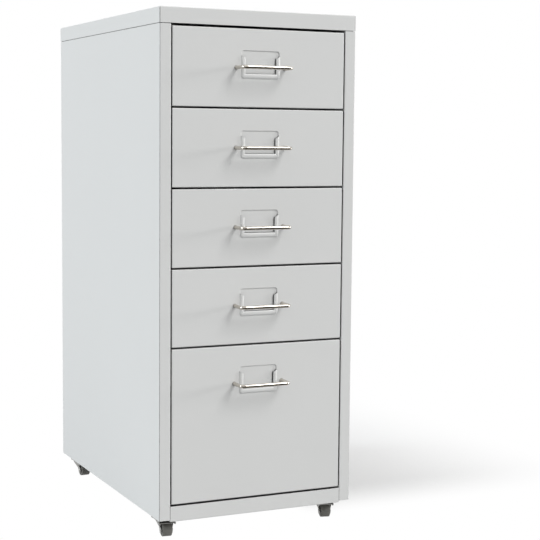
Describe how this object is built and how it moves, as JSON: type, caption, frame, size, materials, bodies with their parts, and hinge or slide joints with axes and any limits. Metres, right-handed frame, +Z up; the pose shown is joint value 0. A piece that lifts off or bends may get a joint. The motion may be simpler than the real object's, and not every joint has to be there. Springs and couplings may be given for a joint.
{
  "type": "drawer cabinet",
  "caption": "Narrow sheet-steel drawer cabinet on small swivel castors, with pressed card holders and wire handles on its sliding drawers.",
  "frame": {"origin": "centre of the bounding box in plan, on the floor under the castors", "axes": "+X to the right across the front, +Y from the front to the rear, +Z up; drawers slide out along -Y"},
  "size_m": [0.28, 0.4592, 0.691],
  "materials": {
    "cabinet_paint": "smooth light grey powder coat, satin",
    "bright_nickel": "bright nickel plating on wire, lightly brushed",
    "zinc_plate": "dull zinc plating",
    "wheel_plastic": "dark grey moulded plastic"
  },
  "bodies": {
    "carcass": {"top_cover": "cabinet_paint", "left_side_panel": "cabinet_paint", "right_side_panel": "cabinet_paint", "back_panel": "cabinet_paint", "base_panel": "cabinet_paint", "front_castor_bar": "zinc_plate", "rear_castor_bar": "zinc_plate", "top_drawer_left_runner": "zinc_plate", "top_drawer_right_runner": "zinc_plate", "second_drawer_left_runner": "zinc_plate", "second_drawer_right_runner": "zinc_plate", "third_drawer_left_runner": "zinc_plate", "third_drawer_right_runner": "zinc_plate", "fourth_drawer_left_runner": "zinc_plate", "fourth_drawer_right_runner": "zinc_plate", "bottom_drawer_left_runner": "zinc_plate", "bottom_drawer_right_runner": "zinc_plate", "carcass_screws": "zinc_plate", "castor_screws": "zinc_plate", "front_left_castor_plate": "zinc_plate", "front_left_castor_kingpin": "zinc_plate", "front_right_castor_plate": "zinc_plate", "front_right_castor_kingpin": "zinc_plate", "rear_left_castor_plate": "zinc_plate", "rear_left_castor_kingpin": "zinc_plate", "rear_right_castor_plate": "zinc_plate", "rear_right_castor_kingpin": "zinc_plate"},
    "top_drawer": {"top_drawer_front": "cabinet_paint", "top_drawer_tray": "cabinet_paint", "top_drawer_handle": "bright_nickel", "top_drawer_handle_screws": "bright_nickel"},
    "second_drawer": {"second_drawer_front": "cabinet_paint", "second_drawer_tray": "cabinet_paint", "second_drawer_handle": "bright_nickel", "second_drawer_handle_screws": "bright_nickel"},
    "third_drawer": {"third_drawer_front": "cabinet_paint", "third_drawer_tray": "cabinet_paint", "third_drawer_handle": "bright_nickel", "third_drawer_handle_screws": "bright_nickel"},
    "fourth_drawer": {"fourth_drawer_front": "cabinet_paint", "fourth_drawer_tray": "cabinet_paint", "fourth_drawer_handle": "bright_nickel", "fourth_drawer_handle_screws": "bright_nickel"},
    "bottom_drawer": {"bottom_drawer_front": "cabinet_paint", "bottom_drawer_tray": "cabinet_paint", "bottom_drawer_handle": "bright_nickel", "bottom_drawer_handle_screws": "bright_nickel"},
    "front_left_castor": {"front_left_castor_fork": "zinc_plate", "front_left_castor_axle": "zinc_plate"},
    "front_left_wheel": {"front_left_castor_wheel": "wheel_plastic"},
    "front_right_castor": {"front_right_castor_fork": "zinc_plate", "front_right_castor_axle": "zinc_plate"},
    "front_right_wheel": {"front_right_castor_wheel": "wheel_plastic"},
    "rear_left_castor": {"rear_left_castor_fork": "zinc_plate", "rear_left_castor_axle": "zinc_plate"},
    "rear_left_wheel": {"rear_left_castor_wheel": "wheel_plastic"},
    "rear_right_castor": {"rear_right_castor_fork": "zinc_plate", "rear_right_castor_axle": "zinc_plate"},
    "rear_right_wheel": {"rear_right_castor_wheel": "wheel_plastic"}
  },
  "joints": [
    {"name": "top_drawer_slide", "type": "slide", "parent": "carcass", "child": "top_drawer", "axis": [0, -1, 0], "range_m": [0, 0.3]},
    {"name": "second_drawer_slide", "type": "slide", "parent": "carcass", "child": "second_drawer", "axis": [0, -1, 0], "range_m": [0, 0.3]},
    {"name": "third_drawer_slide", "type": "slide", "parent": "carcass", "child": "third_drawer", "axis": [0, -1, 0], "range_m": [0, 0.3]},
    {"name": "fourth_drawer_slide", "type": "slide", "parent": "carcass", "child": "fourth_drawer", "axis": [0, -1, 0], "range_m": [0, 0.3]},
    {"name": "bottom_drawer_slide", "type": "slide", "parent": "carcass", "child": "bottom_drawer", "axis": [0, -1, 0], "range_m": [0, 0.3]},
    {"name": "front_left_swivel", "type": "hinge", "parent": "carcass", "child": "front_left_castor", "pos_m": [-0.1188, -0.1676, 0.02], "axis": [0, 0, 1], "continuous": true},
    {"name": "front_left_wheel_spin", "type": "hinge", "parent": "front_left_castor", "child": "front_left_wheel", "pos_m": [-0.11991, -0.17552, 0.009], "axis": [0.9903, -0.1392, 0], "continuous": true},
    {"name": "front_right_swivel", "type": "hinge", "parent": "carcass", "child": "front_right_castor", "pos_m": [0.1188, -0.1676, 0.02], "axis": [0, 0, 1], "continuous": true},
    {"name": "front_right_wheel_spin", "type": "hinge", "parent": "front_right_castor", "child": "front_right_wheel", "pos_m": [0.1166, -0.17529, 0.009], "axis": [0.9613, -0.2756, 0], "continuous": true},
    {"name": "rear_left_swivel", "type": "hinge", "parent": "carcass", "child": "rear_left_castor", "pos_m": [-0.1188, 0.1924, 0.02], "axis": [0, 0, 1], "continuous": true},
    {"name": "rear_left_wheel_spin", "type": "hinge", "parent": "rear_left_castor", "child": "rear_left_wheel", "pos_m": [-0.11852, 0.18441, 0.009], "axis": [0.9994, 0.0349, 0], "continuous": true},
    {"name": "rear_right_swivel", "type": "hinge", "parent": "carcass", "child": "rear_right_castor", "pos_m": [0.1188, 0.1924, 0.02], "axis": [0, 0, 1], "continuous": true},
    {"name": "rear_right_wheel_spin", "type": "hinge", "parent": "rear_right_castor", "child": "rear_right_wheel", "pos_m": [0.12205, 0.18509, 0.009], "axis": [0.9135, 0.4067, 0], "continuous": true}
  ]
}
